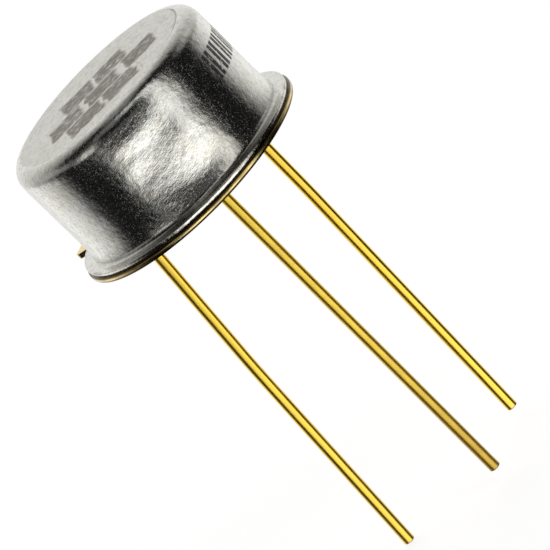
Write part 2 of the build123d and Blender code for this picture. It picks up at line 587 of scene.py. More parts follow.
    def top_print(self, place: Place) -> Socket:
        """Draw the faint blocks on the top, whose edges waver.

        Args:
            place: The surface point.

        Returns:
            The mask of the blocks.
        """
        graph = place.graph
        waver = graph.noise(place.point, self.waver_scale, output="Color")
        waver = graph.vector("SUBTRACT", waver, (0.5, 0.5, 0.5))
        sizes = (self.waver_size, self.waver_size, 0.0)
        spot = graph.vector("MULTIPLY_ADD", waver, sizes, place.point)
        along = graph.vector("DOT_PRODUCT", spot, heading(FRONT + 90), output="Value")
        across = graph.vector("DOT_PRODUCT", spot, heading(FRONT + 180), output="Value")
        mask, *others = (row.mask(along, across) for row in self.top_rows)
        for row in others:
            mask = graph.math("MAXIMUM", mask, row)
        on_top = graph.math("GREATER_THAN", place.height, self.top_height - self.top_reach)
        return mask * self.top_wear.mask(place) * on_top


@dataclass(frozen=True)
class GoldPlateFinish(Finish):
    """Satin gold plate on stamped sheet, with fine pits, random stains and painted dark reflection and
    shade along the rim's upper and lower edges.
    """

    pit_scale: float = 12.0
    pit_detail: float = 3.0
    pit_depth: float = 0.003
    pit_roughness: float = 0.15
    stain: Patches = Patches(0.9, 0.45, 0.75, 3.0)
    stain_strength: float = 0.6
    stained: Triple = (0.62, 0.40, 0.12)
    # Painted dark reflection and shade: the colour that the rim's upper and lower edges take.
    rim_edge_shade: Triple = (0.05, 0.033, 0.005)
    rim: Band = Band(4.52, 4.70, 0.04)
    unshaded_band: Band = Band(0.080, 0.165, 0.018)
    dull: Patches = Patches(1.3, 0.35, 0.65)
    dull_strength: float = 0.45

    def inputs(self, place: Place) -> dict[str, Entry]:
        """Return what feeds the Principled shader.

        Args:
            place: The surface point.

        Returns:
            Links and constants by the name of the shader's input.
        """
        graph = place.graph
        pits = graph.noise(place.point, self.pit_scale, self.pit_detail)
        plate = graph.mix(self.stain.mask(place) * self.stain_strength, self.colour, self.stained)
        # Painted dark reflection and shade: outside its middle band the rim turns dark brown, and random
        # dull patches take some of it inside the band.
        unshaded = self.unshaded_band.mask(place.height) * (1 - self.dull.mask(place) * self.dull_strength)
        brown = self.rim.mask(place.radius()) * (1 - unshaded)
        return {
            "Base Color": graph.mix(brown, plate, self.rim_edge_shade),
            "Metallic": 1.0,
            "Roughness": self.roughness + (pits - 0.5) * self.pit_roughness,
            "Normal": bump(pits * self.pit_depth),
        }


@dataclass(frozen=True)
class GoldWireFinish(Finish):
    """Bright gold plate on drawn wire: long die lines, a few dark specks and a duller tip."""

    tip_height: float
    tarnish: float
    tarnish_reach: float = 9.0
    cloud: Patches = Patches(1.1, 0.35, 0.70, 3.0)
    cloud_strength: float = 0.4
    brown: Triple = (0.50, 0.30, 0.07)
    dull_roughness: float = 0.15
    specks: Patches = Patches(5.5, 0.69, 0.75, 3.0, 0.6)
    speck_strength: float = 0.7
    cut_height: Point = (0.02, 0.07)
    cut_strength: float = 0.8
    cut_roughness: float = 0.2
    base_metal: Triple = (0.42, 0.36, 0.28)
    lines: Texture = Texture((16.0, 16.0, 0.35), 0.0012, 2.0, 0.6)
    waver: Texture = Texture((2.0, 2.0, 0.3), 0.02)

    def inputs(self, place: Place) -> dict[str, Entry]:
        """Return what feeds the Principled shader.

        Args:
            place: The surface point.

        Returns:
            Links and constants by the name of the shader's input.
        """
        graph = place.graph
        near_tip = 1 - place.height.step(self.tip_height, self.tip_height + self.tarnish_reach)
        cloud = self.cloud.mask(place) * self.tarnish * self.cloud_strength
        dull = graph.math("MINIMUM", near_tip * self.tarnish + cloud, 1.0)
        plate = graph.mix(dull, self.colour, self.brown)
        specked = graph.mix(self.specks.mask(place) * self.speck_strength, plate, self.brown)
        low, high = (self.tip_height + height for height in self.cut_height)
        cut = 1 - place.height.step(low, high)
        return {
            "Base Color": graph.mix(cut * self.cut_strength, specked, self.base_metal),
            "Metallic": 1.0,
            "Roughness": self.roughness + dull * self.dull_roughness + cut * self.cut_roughness,
            "Normal": bump(self.lines.height(place.point) + self.waver.height(place.point)),
        }


@dataclass(frozen=True)
class GlassFinish(Finish):
    """Dark fused sealing glass with small bubbles and a glossy skin."""

    bubbles: Patches = Patches(9.0, 0.60, 0.72)
    bubble: Triple = (0.10, 0.14, 0.13)
    bubble_roughness: float = 0.15
    skin: Texture = Texture((3.0, 3.0, 3.0), 0.01, 2.0)
    refraction: float = 1.5

    def inputs(self, place: Place) -> dict[str, Entry]:
        """Return what feeds the Principled shader.

        Args:
            place: The surface point.

        Returns:
            Links and constants by the name of the shader's input.
        """
        bubbles = self.bubbles.mask(place)
        return {
            "Base Color": place.graph.mix(bubbles, self.colour, self.bubble),
            "Roughness": self.roughness + bubbles * self.bubble_roughness,
            "Normal": bump(self.skin.height(place.point)),
            "IOR": self.refraction,
        }


@dataclass(frozen=True)
class InnerFinish(Finish):
    """A small inner piece's finish: one metal or silicon surface with a fine texture."""

    shade: Triple
    metallic: float = 1.0
    scale: float = 8.0
    detail: float = 3.0
    shade_span: Point = (0.4, 0.7)
    shade_roughness: float = 0.1
    depth: float = 0.002

    def inputs(self, place: Place) -> dict[str, Entry]:
        """Return what feeds the Principled shader.

        Args:
            place: The surface point.

        Returns:
            Links and constants by the name of the shader's input.
        """
        texture = place.graph.noise(place.point, self.scale, self.detail)
        shade = texture.step(*self.shade_span)
        return {
            "Base Color": place.graph.mix(shade, self.colour, self.shade),
            "Metallic": self.metallic,
            "Roughness": self.roughness + shade * self.shade_roughness,
            "Normal": bump(texture * self.depth),
        }


# --- Geometry trees ---


class GeometryTree:
    """A Geometry Nodes tree with named inputs, run on a start mesh to make one plain mesh."""

    def __init__(self, name: str) -> None:
        """Start a tree that takes in and gives out a geometry.

        Args:
            name: The tree's name.
        """
        self.tree = bpy.data.node_groups.new(name, "GeometryNodeTree")
        self.graph = Graph(self.tree)
        self.tree.interface.new_socket("Geometry", in_out="INPUT", socket_type="NodeSocketGeometry")
        self.tree.interface.new_socket("Geometry", in_out="OUTPUT", socket_type="NodeSocketGeometry")
        self.entry = self.tree.nodes.new("NodeGroupInput")
        self.identifiers: dict[str, str] = {}

    def take(self, name: str, kind: str) -> Socket:
        """Add a named input.

        Args:
            name: What the input is called.
            kind: Its socket type, without the NodeSocket prefix.

        Returns:
            The input's value inside the tree.
        """
        made = self.tree.interface.new_socket(name, in_out="INPUT", socket_type=f"NodeSocket{kind}")
        self.identifiers[name] = made.identifier
        return Socket(self.graph, self.entry.outputs[name])

    def start(self) -> Socket:
        """Return the geometry that the tree is run on."""
        return Socket(self.graph, self.entry.outputs["Geometry"])

    def close(self, geometry: Socket, material: Socket) -> None:
        """End the tree with smooth shading, real instances and a material.

        Args:
            geometry: The finished geometry.
            material: The material input.
        """
        smooth = self.graph.add("GeometryNodeSetShadeSmooth", None, {"Geometry": geometry})
        real = self.graph.add("GeometryNodeRealizeInstances", None, {"Geometry": smooth})
        inputs = {"Geometry": real, "Material": material}
        dressed = self.graph.add("GeometryNodeSetMaterial", None, inputs)
        self.graph.end("NodeGroupOutput", "Geometry", dressed)

    def run(self, name: str, start: bpy.types.Mesh, values: Mapping[str, Any]) -> bpy.types.Object:
        """Run the tree and keep its result as a plain mesh.

        Args:
            name: The new piece's name.
            start: The mesh that the tree begins with.
            values: The named inputs.

        Returns:
            The new piece, settled and with no modifier.
        """
        piece = linked(name, start)
        modifier = piece.modifiers.new("shape", "NODES")
        modifier.node_group = self.tree
        for key, value in values.items():
            modifier[self.identifiers[key]] = value
        return settle(coat(freeze(piece), values["Material"]))


class RevolveTree(GeometryTree):
    """Turns a half section about an upright axis.

    The start mesh holds the section's points in order, as (radius, 0, height). A section that
    doesn't end on the axis repeats its first point at its end.
    """

    WELD = 2e-7

    def __init__(self) -> None:
        """Build the tree: a grid with a column of section points for each step of the turn."""
        super().__init__("revolve_section")
        graph = self.graph
        section = self.start()
        centre = self.take("Centre", "Vector")
        segments = self.take("Segments", "Int")
        material = self.take("Material", "Material")
        count = graph.add("GeometryNodeAttributeDomainSize", {"component": "MESH"}, {"Geometry": section})
        grid = graph.add("GeometryNodeMeshGrid", None, {"Vertices X": segments + 1, "Vertices Y": count})
        index = graph.add("GeometryNodeInputIndex")
        column = graph.math("FLOOR", (index + 0.5) / count)
        position = graph.add("GeometryNodeInputPosition")
        settings = {"data_type": "FLOAT_VECTOR", "domain": "POINT"}
        inputs = {"Geometry": section, "Value": position, "Index": index - column * count}
        spot = graph.add("GeometryNodeSampleIndex", settings, inputs)
        inputs = {"Vector": spot, "Angle": column * math.tau / segments}
        turned = graph.add("ShaderNodeVectorRotate", {"rotation_type": "Z_AXIS"}, inputs)
        placed = graph.vector("ADD", turned, centre)
        shaped = graph.add("GeometryNodeSetPosition", None, {"Geometry": grid, "Position": placed})
        inputs = {"Geometry": shaped, "Distance": self.WELD}
        self.close(graph.add("GeometryNodeMergeByDistance", None, inputs), material)

    def turn(
        self,
        name: str,
        points: Sequence[Point],
        segments: int,
        material: bpy.types.Material,
        centre: Vector | None = None,
    ) -> bpy.types.Object:
        """Turn a section into a piece.

        Args:
            name: The new piece's name.
            points: The section's (radius, height) points in order.
            segments: How many steps the turn has.
            material: The piece's material.
            centre: Where the axis stands, if it isn't the part's own.

        Returns:
            The new piece.
        """
        section = bpy.data.meshes.new(f"{name}_section")
        section.from_pydata([(radius, 0.0, height) for radius, height in points], [], [])
        values = {"Segments": segments, "Material": material}
        if centre is not None:
            values["Centre"] = centre
        return self.run(name, section, values)


class WireTree(GeometryTree):
    """Draws a round wire along a polyline with rounded corners and an eased end.

    The start mesh holds the route's corners in order, joined by edges. The first corner has a
    radius of its own, and any later one is a slow bend.
    """

    BEND_STEPS = 16
    CROWDING = 2.5

    def __init__(self) -> None:
        """Build the tree: a rounded route, its rings and the tube round them."""
        super().__init__("bent_wire")
        graph = self.graph
        bend_radius = self.take("Bend Radius", "Float")
        slow_radius = self.take("Slow Bend Radius", "Float")
        wire_radius = self.take("Wire Radius", "Float")
        ease = self.take("End Ease", "Float")
        rings = self.take("Rings", "Int")
        sides = self.take("Sides", "Int")
        material = self.take("Material", "Material")
        corners = graph.add("GeometryNodeMeshToCurve", None, {"Mesh": self.start()})
        # Corner 0 is the head, corner 1 the first bend and corner 2 a slow one.
        later = graph.math("GREATER_THAN", graph.add("GeometryNodeInputIndex"), 1.5)
        radius = bend_radius + later * (slow_radius - bend_radius)
        inputs = {"Curve": corners, "Count": self.BEND_STEPS, "Radius": radius}
        route = graph.add("GeometryNodeFilletCurve", {"mode": "POLY"}, inputs)
        # The rings crowd towards the tip, where the eased end needs them.
        evenly = graph.add("GeometryNodeResampleCurve", None, {"Curve": route, "Count": rings})
        share = graph.add("GeometryNodeSplineParameter", output="Factor")
        inputs = {"Curves": route, "Factor": 1 - (1 - share) ** self.CROWDING}
        on_route = graph.add("GeometryNodeSampleCurve", {"mode": "FACTOR"}, inputs, "Position")
        path = graph.add("GeometryNodeSetPosition", None, {"Geometry": evenly, "Position": on_route})
        length = graph.add("GeometryNodeCurveLength", None, {"Curve": route})
        short = graph.math("MAXIMUM", ease - (1 - share) * length, 0.0)
        drop = ease - graph.math("SQRT", graph.math("MAXIMUM", ease * ease - short * short, 0.0))
        inputs = {"Resolution": sides, "Radius": 1.0}
        circle = graph.add("GeometryNodeCurvePrimitiveCircle", None, inputs)
        scale = wire_radius - drop
        inputs = {"Curve": path, "Profile Curve": circle, "Scale": scale, "Fill Caps": True}
        self.close(graph.add("GeometryNodeCurveToMesh", None, inputs), material)


# --- Meshes and pieces ---


def linked(name: str, data: bpy.types.Mesh | bpy.types.Camera) -> bpy.types.Object:
    """Return a new object that is linked to the scene.

    Args:
        name: The object's name.
        data: Its mesh or its camera.

    Returns:
        The new object.
    """
    made = bpy.data.objects.new(name, data)
    bpy.context.scene.collection.objects.link(made)
    return made


def from_bmesh(name: str, work: bmesh.types.BMesh) -> bpy.types.Object:
    """Turn a bmesh into an object, and free it.

    Args:
        name: The name of the object and its mesh.
        work: The finished bmesh.

    Returns:
        The new object, linked to the scene.
    """
    made = bpy.data.meshes.new(name)
    work.to_mesh(made)
    work.free()
    return linked(name, made)


def coat(piece: bpy.types.Object, material: bpy.types.Material) -> bpy.types.Object:
    """Leave one material on a piece, on all its faces.

    Args:
        piece: The piece to coat.
        material: Its material.

    Returns:
        The same piece.
    """
    piece.data.materials.clear()
    piece.data.materials.append(material)
    piece.data.polygons.foreach_set("material_index", [0] * len(piece.data.polygons))
    return piece


def freeze(piece: bpy.types.Object) -> bpy.types.Object:
    """Replace a piece's mesh by its evaluated mesh and remove its modifiers.

    Args:
        piece: The piece to freeze.

    Returns:
        The same piece.
    """
    bpy.context.view_layer.update()
    evaluated = piece.evaluated_get(bpy.context.evaluated_depsgraph_get())
    baked = bpy.data.meshes.new_from_object(evaluated)
    piece.modifiers.clear()
    piece.data = baked
    baked.name = piece.name
    return piece


def settle(piece: bpy.types.Object) -> bpy.types.Object:
    """Turn a closed piece's faces outward and report how many faces and open edges it has.

    Args:
        piece: A piece whose mesh is final.

    Returns:
        The same piece.
    """
    work = bmesh.new()
    work.from_mesh(piece.data)
    bmesh.ops.recalc_face_normals(work, faces=work.faces)
    if work.calc_volume(signed=True) < 0:
        bmesh.ops.reverse_faces(work, faces=work.faces)
    open_edges = sum(1 for edge in work.edges if not edge.is_manifold)
    log.info("%s: %d faces, %d open edges", piece.name, len(work.faces), open_edges)
    work.to_mesh(piece.data)
    work.free()
    return piece


def dress(piece: bpy.types.Object, slot: Slot, *nodes: str) -> bpy.types.Object:
    """Tie a finished piece to the frame.

    Args:
        piece: The finished piece.
        slot: Not used.
        nodes: The solids that it stands for.

    Returns:
        The same piece.
    """
    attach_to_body(piece, ROOT)
    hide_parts(*nodes)
    return piece


def plan(node: str) -> tuple[Vector, float]:
    """Return the centre of a round solid, at height 0, and its radius."""
    low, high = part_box(node)
    return Vector(((low.x + high.x) / 2, (low.y + high.y) / 2, 0.0)), (high.x - low.x) / 2


def shares(steps: int) -> list[float]:
    """Return the numbers from 0 to 1 at equal steps, both ends among them."""
    return [step / steps for step in range(steps + 1)]


def arc(
    centre: Point, radius: float, start: float, end: float, steps: int, depth: float | None = None
) -> list[Point]:
    """Return points along an arc, or along part of an ellipse.

    Args:
        centre: The arc's centre.
        radius: Its radius.
        start: The angle it starts at, in degrees from the section's outward direction.
        end: The angle it ends at.
        steps: How many chords it has.
        depth: An ellipse's half width, where its half height is the radius.

    Returns:
        steps + 1 points, both ends among them.
    """
    angles = [math.radians(start + (end - start) * step / steps) for step in range(steps + 1)]
    width = radius if depth is None else depth
    return [(centre[0] + width * math.cos(a), centre[1] + radius * math.sin(a)) for a in angles]


def hold_flats(points: Sequence[Point], margin: float) -> list[Point]:
    """Add a point near both ends of each long straight stretch, so that it shades flat.

    Args:
        points: An outline's points in order.
        margin: How far from its ends a stretch gets the new points.

    Returns:
        The outline with the extra points.
    """
    held: list[Point] = []
    for here, there in zip(points, points[1:]):
        held.append(here)
        length = math.dist(here, there)
        if length > 4 * margin:
            for share in (margin / length, 1 - margin / length):
                held.append(tuple(a + (b - a) * share for a, b in zip(here, there)))
    held.append(points[-1])
    return held


def prism(name: str, outline: Sequence[Point], low: float, high: float, angle: float) -> bpy.types.Object:
    """Return an upright prism.

    Args:
        name: The new object's name.
        outline: Its outline in plan, counter-clockwise.
        low: The height of its lower face.
        high: The height of its upper face.
        angle: How far it is turned about +Z, in degrees.

    Returns:
        The prism, linked to the scene.
    """
    work = bmesh.new()
    base = work.faces.new([work.verts.new((x, y, low)) for x, y in outline])
    raised = bmesh.ops.extrude_face_region(work, geom=[base])["geom"]
    risen = [item for item in raised if isinstance(item, bmesh.types.BMVert)]
    bmesh.ops.translate(work, verts=risen, vec=(0.0, 0.0, high - low))
    bmesh.ops.recalc_face_normals(work, faces=work.faces)
    bmesh.ops.rotate(work, verts=work.verts, matrix=Matrix.Rotation(math.radians(angle), 3, "Z"))
    return from_bmesh(name, work)


# --- Sub-assemblies ---


@dataclass
class Can:
    """The drawn can: flat crown, round corner, straight wall, concave foot and thin flange."""

    finish: Finish
    wall: float = 0.20 * MM
    crown: float = 0.22 * MM
    flange_width: float = 0.495 * MM
    flange_thickness: float = 0.19 * MM
    corner_radius: float = 0.56 * MM
    foot_radius: float = 0.20 * MM
    upper_edge: float = 0.03 * MM
    lower_edge: float = 0.16 * MM
    lower_depth: float = 0.07 * MM
    taper_depth: float = 0.012 * MM
    taper_reach: float = 0.42 * MM
    flare_depth: float = 0.034 * MM
    flare_reach: float = 1.0 * MM
    margin: float = 0.012 * MM
    # How many steps the turn has, and how many chords each curve.
    segments: int = 288
    corner_steps: int = 20
    taper_steps: int = 10
    flare_steps: int = 12
    foot_steps: int = 14
    upper_steps: int = 10
    lower_steps: int = 12
    inner_foot_steps: int = 8
    inner_corner_steps: int = 10

    def outside(self) -> list[Point]:
        """Trace the outer profile.

        Returns:
            The points from the top's centre to the flange's underside.
        """
        low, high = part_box("can")
        rim = high.x
        foot, top = low.z, high.z
        radius = rim - self.flange_width
        flange_top = foot + self.flange_thickness
        lean = math.atan(2 * self.taper_depth / self.taper_reach)
        join_radius = radius - self.taper_depth
        corner_middle = join_radius - self.corner_radius * math.cos(lean)
        corner_centre = (corner_middle, top - self.corner_radius)
        join_height = corner_centre[1] + self.corner_radius * math.sin(lean)
        corner = arc(corner_centre, self.corner_radius, 90.0, math.degrees(lean), self.corner_steps)
        taper = self.swept(join_height, -self.taper_reach, join_radius, radius, self.taper_steps)
        foot_radius = radius + self.flare_depth
        foot_top = flange_top + self.foot_radius
        flare = self.swept(foot_top, self.flare_reach, foot_radius, radius, self.flare_steps)[::-1]
        foot_centre = (foot_radius + self.foot_radius, foot_top)
        concave = arc(foot_centre, self.foot_radius, 180.0, 270.0, self.foot_steps)
        upper_centre = (rim - self.upper_edge, flange_top - self.upper_edge)
        upper = arc(upper_centre, self.upper_edge, 90.0, 0.0, self.upper_steps)
        lower_centre = (rim - self.lower_depth, foot + self.lower_edge)
        lower = arc(lower_centre, self.lower_edge, 0.0, -90.0, self.lower_steps, self.lower_depth)
        return [(0.0, top), *corner, *taper[1:], *flare, *concave[1:], *upper, *lower]

    @staticmethod
    def swept(start: float, reach: float, radius: float, far_radius: float, steps: int) -> list[Point]:
        """Return a stretch of wall that leans in or out more and more towards its start.

        Args:
            start: The height where the lean is greatest.
            reach: How far the leaning stretch runs, downward if negative.
            radius: The wall's radius at the start.
            far_radius: Its radius where the lean ends.
            steps: How many chords the stretch has.

        Returns:
            The points from the start to where the wall is upright.
        """
        lean = radius - far_radius
        return [(far_radius + lean * (1 - share) ** 2, start + reach * share) for share in shares(steps)]

    def inside(self) -> list[Point]:
        """Trace the inner profile.

        Returns:
            The points from the flange's underside up to the crown's centre.
        """
        low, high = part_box("can")
        bore = high.x - self.flange_width - self.wall
        ceiling = high.z - self.crown
        inner_corner = self.corner_radius - self.wall
        foot_centre = (bore + self.foot_radius, low.z + self.foot_radius)
        foot = arc(foot_centre, self.foot_radius, 270.0, 180.0, self.inner_foot_steps)
        corner_centre = (bore - inner_corner, ceiling - inner_corner)
        corner = arc(corner_centre, inner_corner, 0.0, 90.0, self.inner_corner_steps)
        return [*foot, *corner, (0.0, ceiling)]

    def build(self, revolve: RevolveTree) -> bpy.types.Object:
        """Build and dress the can.

        Args:
            revolve: The tree that turns a section.

        Returns:
            The finished piece.
        """
        points = hold_flats([*self.outside(), *self.inside()], self.margin)
        piece = revolve.turn("can_shell", points, self.segments, self.finish.material())
        return dress(piece, Slot.CAN, "can")


@dataclass
class Header:
    """The stamped header: flange with its locating tab, platform, two seal holes and one socket."""

    finish: Finish
    tab_angle: float = 135.0
    tab_width: float = 0.80 * MM
    tab_length: float = 0.84 * MM
    tab_corner: float = 0.16 * MM
    tab_steps: int = 8
    edge: float = 0.05 * MM
    edge_steps: int = 4
    edge_angle: float = 50.0
    rim_upper: float = 0.05 * MM
    rim_upper_steps: int = 5
    rim_lower: float = 0.11 * MM
    rim_lower_steps: int = 12
    rim_depth: float = 0.045 * MM
    socket_depth: float = 0.35 * MM
    platform_radius: float = 3.625 * MM
    segments: int = 288
    bore_sides: int = 72
    overlap: float = 0.30 * MM

    def body(self, revolve: RevolveTree, material: bpy.types.Material) -> bpy.types.Object:
        """Return the turned body, with a rolled rim and a sharp platform.

        Args:
            revolve: The tree that turns a section.
            material: The header's material.

        Returns:
            The flange and the platform, before the tab and the holes.
        """
        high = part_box("header")[1]
        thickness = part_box("can")[0].z
        lower_centre = (high.x - self.rim_depth, self.rim_lower)
        upper_centre = (high.x - self.rim_upper, thickness - self.rim_upper)
        points = [
            (0.0, 0.0),
            *arc(lower_centre, self.rim_lower, -90.0, 0.0, self.rim_lower_steps, self.rim_depth),
            *arc(upper_centre, self.rim_upper, 0.0, 90.0, self.rim_upper_steps),
            (self.platform_radius, thickness),
            (self.platform_radius, high.z),
            (0.0, high.z),
        ]
        return revolve.turn("header_plate", points, self.segments, material)

    def tab(self) -> bpy.types.Object:
        """Build the tab, a straight tongue with two eased corners.

        Returns:
            The tab, which reaches a little way into the flange.
        """
        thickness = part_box("can")[0].z
        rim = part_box("header")[1].x
        start = rim - self.overlap
        half = self.tab_width / 2
        middle = rim + self.tab_length - self.tab_corner
        outline = [(start, -half)]
        outline += arc((middle, -half + self.tab_corner), self.tab_corner, -90.0, 0.0, self.tab_steps)
        outline += arc((middle, half - self.tab_corner), self.tab_corner, 0.0, 90.0, self.tab_steps)
        outline += [(start, half)]
        return prism("header_tab", outline, 0.0, thickness, self.tab_angle)

    def bores(self) -> list[bpy.types.Object]:
        """Build the cutters of the seal holes and the blind socket.

        Returns:
            One round cutter for each.
        """
        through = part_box("header")[1].z + self.overlap
        tops = {"glass_seal_1": through, "glass_seal_2": through, "earth_braze": self.socket_depth}
        made = []
        for node, top in tops.items():
            centre, radius = plan(node)
            outline = arc((0.0, 0.0), radius, 0.0, 360.0, self.bore_sides)[:-1]
            cutter = prism(f"{node}_bore", outline, -self.overlap, top, 0.0)
            cutter.data.transform(Matrix.Translation(centre))
            made.append(cutter)
        return made

    def build(self, revolve: RevolveTree) -> bpy.types.Object:
        """Build and dress the header.

        Args:
            revolve: The tree that turns a section.

        Returns:
            The finished piece.
        """
        material = self.finish.material()
        piece = self.body(revolve, material)
        helpers = [(self.tab(), "UNION"), *((bore, "DIFFERENCE") for bore in self.bores())]
        for helper, operation in helpers:
            modifier = piece.modifiers.new(helper.name, "BOOLEAN")
            modifier.operation = operation
            modifier.object = helper
            modifier.solver = "EXACT"
        bevel = piece.modifiers.new("edges", "BEVEL")
        bevel.width = self.edge
        bevel.segments = self.edge_steps
        bevel.angle_limit = math.radians(self.edge_angle)
        bevel.harden_normals = True
        freeze(piece)
        for helper, _ in helpers:
            bpy.data.objects.remove(helper)
        return dress(settle(coat(piece, material)), Slot.HEADER, "header")


@dataclass
class Lead:
    """One wire lead, upright in the header and splayed below it, in one run or in two."""

    node: str
    finish: Finish
    slow_bend: float | None = None
    radius: float = 0.205 * MM
    bend_radius: float = 3.0 * MM
    slow_radius: float = 60.0 * MM
    end_ease: float = 0.03 * MM
    rings: int = 150
    sides: int = 48

    def corners(self) -> list[Vector]:
        """Lay out the wire's centre line.

        The first run below the header lies on the lead's mount, and the last one ends at the
        solid's own tip.

        Returns:
            The line's corners, from its head to its tip.
        """
        low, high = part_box(self.node)
        mounts = {mount["name"]: mount for mount in frame["record"]["mounts"]}
        spot = Vector(mounts[f"{self.node}_wire"]["pos_m"])
        axis = Vector(mounts[f"{self.node}_wire"]["axis"])
        fall = axis / -axis.z
        head = Vector((high.x - self.radius, high.y - self.radius, high.z))
        bend = spot - fall * ((spot - head).xy.length / fall.xy.length)
        corners = [head, bend]
        if self.slow_bend is not None:
            corners.append(bend + fall * (self.slow_bend + bend.z))
        tip = Vector((low.x + self.radius, low.y + self.radius, low.z))
        lean = (tip - corners[-1]).xy.length / (corners[-1].z - tip.z)
        tip.z += (self.radius - self.end_ease) * lean
        return [*corners, tip]

    def build(self, wire: WireTree) -> bpy.types.Object:
        """Build and dress the lead.

        Args:
            wire: The tree that draws a bent wire.

        Returns:
            The finished piece.
        """
        values = {
            "Bend Radius": self.bend_radius,
            "Slow Bend Radius": self.slow_radius,
            "Wire Radius": self.radius,
            "End Ease": self.end_ease,
            "Rings": self.rings,
            "Sides": self.sides,
            "Material": self.finish.material(),
        }
        corners = self.corners()
        route = bpy.data.meshes.new(f"{self.node}_route")
        route.from_pydata(corners, [(i, i + 1) for i in range(len(corners) - 1)], [])
        return dress(wire.run(f"{self.node}_wire", route, values), Slot.LEAD, self.node)


@dataclass
class Seal:
    """A filling round a wire: glass in a through hole, or braze in a blind socket."""

    node: str
    name: str
    finish: Finish
    slot: Slot
    blind: bool = False
    wire_radius: float = 0.205 * MM
    sink: float = 0.03 * MM
    bow: float = 0.03 * MM
    margin: float = 0.01 * MM
    segments: int = 96
    steps: int = 10

    def build(self, revolve: RevolveTree) -> bpy.types.Object:
        """Build and dress the filling.

        Args:
            revolve: The tree that turns a section.

        Returns:
            The finished piece.
        """
        low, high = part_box(self.node)
        centre, rim = plan(self.node)
        foot = self.meniscus((self.wire_radius, low.z), (rim, 0.0 if self.blind else self.sink), self.bow)
        head = [(rim, high.z), (self.wire_radius, high.z)]
        if not self.blind:
            edge = (rim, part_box("header")[1].z - self.sink)
            head = self.meniscus((self.wire_radius, high.z), edge, -self.bow)[::-1]
        points = hold_flats([*foot, *head, foot[0]], self.margin)
        piece = revolve.turn(self.name, points, self.segments, self.finish.material(), centre)
        return dress(piece, self.slot, self.node)

    def meniscus(self, neck: Point, rim: Point, bow: float) -> list[Point]:
        """Return the curve by which a filling climbs its wire.

        Args:
            neck: Where the curve meets the wire.
            rim: Where it meets the socket.
            bow: How far its middle stands above the straight line.

        Returns:
            The points from the neck to the rim.
        """
        return [
            (neck[0] + (rim[0] - neck[0]) * s, neck[1] + (rim[1] - neck[1]) * s + 4 * bow * s * (1 - s))
            for s in shares(self.steps)
        ]


@dataclass
class Circuit:
    """The pieces sealed inside the can. Their solids stay and take a finish."""

    finishes: Mapping[str, tuple[Finish, Slot]]

    def build(self, nodes: Mapping[str, bpy.types.Object]) -> None:
        """Give each solid its material.

        Args:
            nodes: The frame's objects by node name.
        """
        for name, (finish, slot) in self.finishes.items():
            solid = nodes[name]
            solid.data.materials.clear()
            solid.data.materials.append(finish.material())
            log.info("%s: solid kept", name)


# --- Studio ---


@dataclass(frozen=True)
class Panel:
    """A soft-edged patch of light in the surround, in degrees from the front and the horizon."""

    level: float
    azimuth: Band
    elevation: Band


